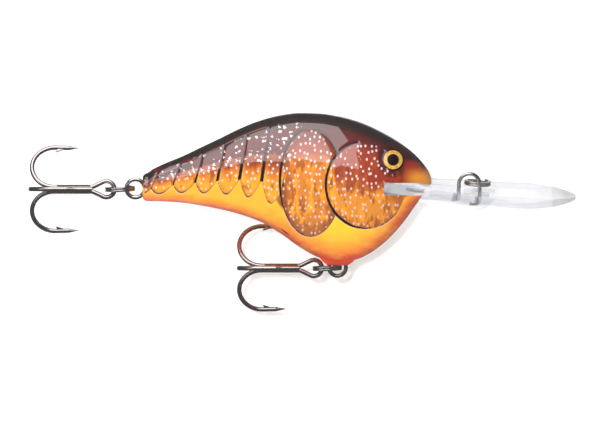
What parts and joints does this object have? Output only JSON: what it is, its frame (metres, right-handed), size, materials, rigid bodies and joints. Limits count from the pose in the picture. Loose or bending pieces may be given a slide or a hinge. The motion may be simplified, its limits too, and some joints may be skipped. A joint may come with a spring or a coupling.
{
  "type": "crankbait lure",
  "caption": "Deep-diving crankbait fishing lure: hollow shell body with rattle and ballast, clear diving lip, line-tie ring, and treble hooks hung on split rings.",
  "frame": {"origin": "centre of the line-tie eye, where the line pulls", "axes": "+X along the lure towards the nose and diving lip, +Y to the lure's left, +Z towards its back (dorsal side up, as it swims)"},
  "size_m": [0.1138, 0.0222, 0.0429],
  "materials": {
    "shell_paint": "gloss clear coat over a dark back, red flank and orange belly",
    "clear_lip": "clear polished polycarbonate",
    "wire": "bright drawn wire",
    "black_nickel": "dark nickel plate",
    "solder": "dull brazed joint under dark plate",
    "ballast": "dull grey cast metal",
    "tube_plastic": "natural moulded plastic",
    "ball_steel": "polished ball",
    "eye_insert": "gold iris with black pupil under a clear dome"
  },
  "bodies": {
    "lure_body": {"body_shell_right": "shell_paint", "body_shell_left": "shell_paint", "diving_lip": "clear_lip", "line_tie_wire": "wire", "belly_hook_hanger": "wire", "tail_hook_hanger": "wire", "belly_ballast_weight": "ballast", "rattle_tube": "tube_plastic", "rattle_tube_plug": "tube_plastic", "right_eye": "eye_insert", "left_eye": "eye_insert"},
    "tie_ring": {"line_tie_split_ring": "black_nickel"},
    "belly_ring": {"belly_split_ring": "black_nickel"},
    "tail_ring": {"tail_split_ring": "black_nickel"},
    "belly_treble": {"belly_treble_double_hook": "black_nickel", "belly_treble_single_hook": "black_nickel", "belly_treble_braze": "solder"},
    "tail_treble": {"tail_treble_double_hook": "black_nickel", "tail_treble_single_hook": "black_nickel", "tail_treble_braze": "solder"},
    "rattle": {"rattle_balls": "ball_steel"}
  },
  "joints": [
    {"name": "tie_ring_swing", "type": "hinge", "parent": "lure_body", "child": "tie_ring", "pos_m": [-0.00071, 0, 0.00046], "axis": [0, 1, 0], "range_deg": [-160, 1]},
    {"name": "belly_ring_pitch", "type": "hinge", "parent": "lure_body", "child": "belly_ring", "pos_m": [-0.02682, 0, -0.01767], "axis": [0, 1, 0], "range_deg": [-110, 0]},
    {"name": "belly_treble_yaw", "type": "hinge", "parent": "belly_ring", "child": "belly_treble", "pos_m": [-0.03226, 0, -0.0179], "axis": [0, 0, 1], "range_deg": [-30, 22]},
    {"name": "tail_ring_pitch", "type": "hinge", "parent": "lure_body", "child": "tail_ring", "pos_m": [-0.06993, 0, -0.00092], "axis": [0, 1, 0], "range_deg": [-110, 95]},
    {"name": "tail_treble_yaw", "type": "hinge", "parent": "tail_ring", "child": "tail_treble", "pos_m": [-0.07547, 0, -0.00115], "axis": [0, 0, 1], "range_deg": [-30, 22]},
    {"name": "rattle_slide", "type": "slide", "parent": "lure_body", "child": "rattle", "axis": [1, 0, 0], "range_m": [0, 0.0031]}
  ]
}
